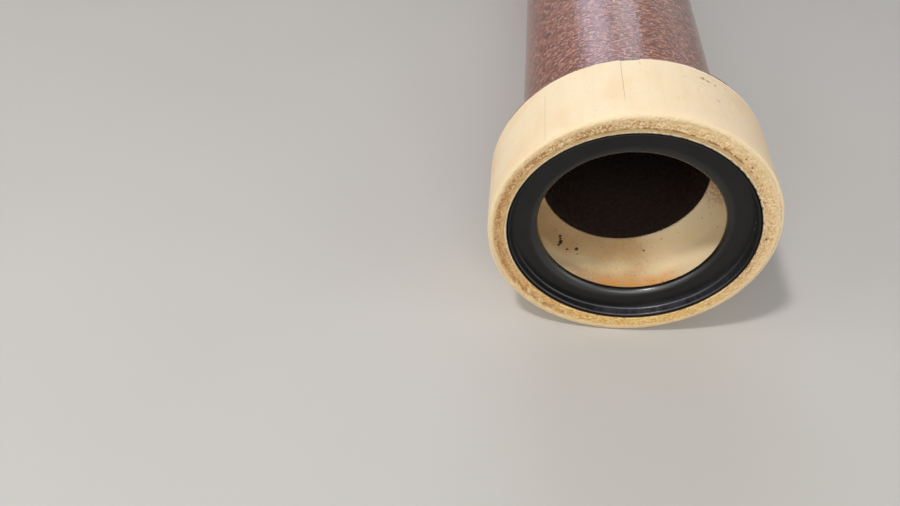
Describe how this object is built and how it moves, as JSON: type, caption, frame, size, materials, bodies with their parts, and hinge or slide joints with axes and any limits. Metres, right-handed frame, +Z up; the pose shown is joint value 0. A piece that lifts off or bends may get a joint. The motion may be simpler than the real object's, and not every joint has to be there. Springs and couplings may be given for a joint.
{
  "type": "clay drain pipe",
  "caption": "Straight vitrified clay drain pipe with a glazed barrel, a wide socket with a rubber lip seal at one end and a plain spigot at the other.",
  "frame": {"origin": "middle of the pipe's length and width, on the ground that it lies on", "axes": "+X along the pipe from the socket to the spigot end, which lies lower by the lean of about one degree; +Z up"},
  "size_m": [1.5786, 0.2413, 0.2427],
  "materials": {
    "glazed_clay": "glossy brown glaze; the socket band, the mouth, the socket's wall and the spigot's face are bare buff clay",
    "seal_rubber": "satin black"
  },
  "bodies": {
    "root": {"clay_pipe": "glazed_clay", "seal_ring": "seal_rubber"}
  },
  "joints": []
}
